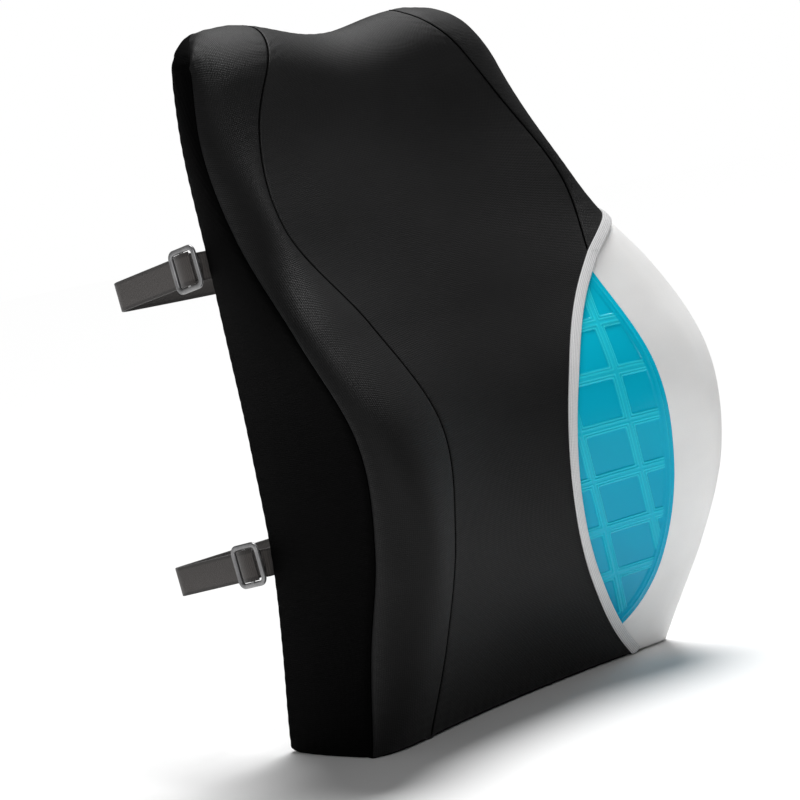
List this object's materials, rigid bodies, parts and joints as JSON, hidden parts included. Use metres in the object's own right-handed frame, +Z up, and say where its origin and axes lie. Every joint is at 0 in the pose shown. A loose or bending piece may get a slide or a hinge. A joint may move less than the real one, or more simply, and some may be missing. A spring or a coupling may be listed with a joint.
{
  "type": "lumbar support cushion",
  "caption": "Contoured foam lumbar cushion with a gel pad, a cutaway fabric cover, a rear zip and two adjustable straps that hold it to a chair back.",
  "frame": {"origin": "a point on the middle of the flat base, 40 mm in front of the flat back", "axes": "+Z up along the cushion's height, +Y towards the chair that it is strapped to, +X across, to the right when looking at the front"},
  "size_m": [0.2967, 0.2497, 0.4248],
  "materials": {
    "foam": "matt off-white moulded foam skin",
    "gel": "glossy blue gel with raised cells",
    "liner": "thin white knit",
    "band": "ribbed white binding",
    "cover": "fine black woven cloth",
    "cover_back": "black spacer mesh",
    "thread": "black sewing thread",
    "zip_tape": "black herringbone tape",
    "zip_coil": "black nylon coil",
    "zip_metal": "dark enamelled metal",
    "webbing": "dark grey elastic webbing",
    "slider": "grey semi-gloss buckle"
  },
  "bodies": {
    "cushion": {"foam_core": "foam", "gel_pad": "gel", "inner_liner": "liner", "window_band": "band", "cover_center_panel": "cover", "cover_left_wing_panel": "cover", "cover_right_wing_panel": "cover", "cover_left_side_panel": "cover", "cover_right_side_panel": "cover", "cover_top_panel": "cover", "cover_bottom_panel": "cover", "cover_back_panel": "cover_back", "cover_back_lower_panel": "cover_back", "left_front_seam": "thread", "right_front_seam": "thread", "zipper_upper_tape": "zip_tape", "zipper_lower_tape": "zip_tape", "zipper_upper_coil": "zip_coil", "zipper_lower_coil": "zip_coil", "zipper_top_stop": "zip_metal", "zipper_bottom_stop": "zip_metal", "upper_strap_left_tab": "webbing", "upper_strap_right_tab": "webbing", "lower_strap_left_tab": "webbing", "lower_strap_right_tab": "webbing"},
    "upper_strap": {"upper_strap_webbing": "webbing"},
    "upper_slider": {"upper_strap_slider": "slider"},
    "lower_strap": {"lower_strap_webbing": "webbing"},
    "lower_slider": {"lower_strap_slider": "slider"},
    "zipper_slider": {"zipper_slider_body": "zip_metal"},
    "zipper_pull": {"zipper_pull_tab": "zip_metal"}
  },
  "joints": [
    {"name": "upper_strap_swing", "type": "hinge", "parent": "cushion", "child": "upper_strap", "pos_m": [0, 0.0495, 0.289], "axis": [1, 0, 0], "range_deg": [-45, 45], "stiffness_Nm_per_rad": 0.03, "springref_deg": 17.19},
    {"name": "upper_slider_slide", "type": "slide", "parent": "upper_strap", "child": "upper_slider", "axis": [0, 0.9919, -0.1271], "range_m": [0, 0.036]},
    {"name": "lower_strap_swing", "type": "hinge", "parent": "cushion", "child": "lower_strap", "pos_m": [0, 0.0495, 0.111], "axis": [1, 0, 0], "range_deg": [-45, 45], "stiffness_Nm_per_rad": 0.03, "springref_deg": 17.19},
    {"name": "lower_slider_slide", "type": "slide", "parent": "lower_strap", "child": "lower_slider", "axis": [0, 0.9919, -0.1271], "range_m": [0, 0.036]},
    {"name": "zipper_slide", "type": "slide", "parent": "cushion", "child": "zipper_slider", "axis": [1, 0, 0], "range_m": [0, 0.184]},
    {"name": "zipper_pull_swing", "type": "hinge", "parent": "zipper_slider", "child": "zipper_pull", "pos_m": [-0.092, 0.043, 0.046], "axis": [0, 0, 1], "range_deg": [0, 180]}
  ]
}
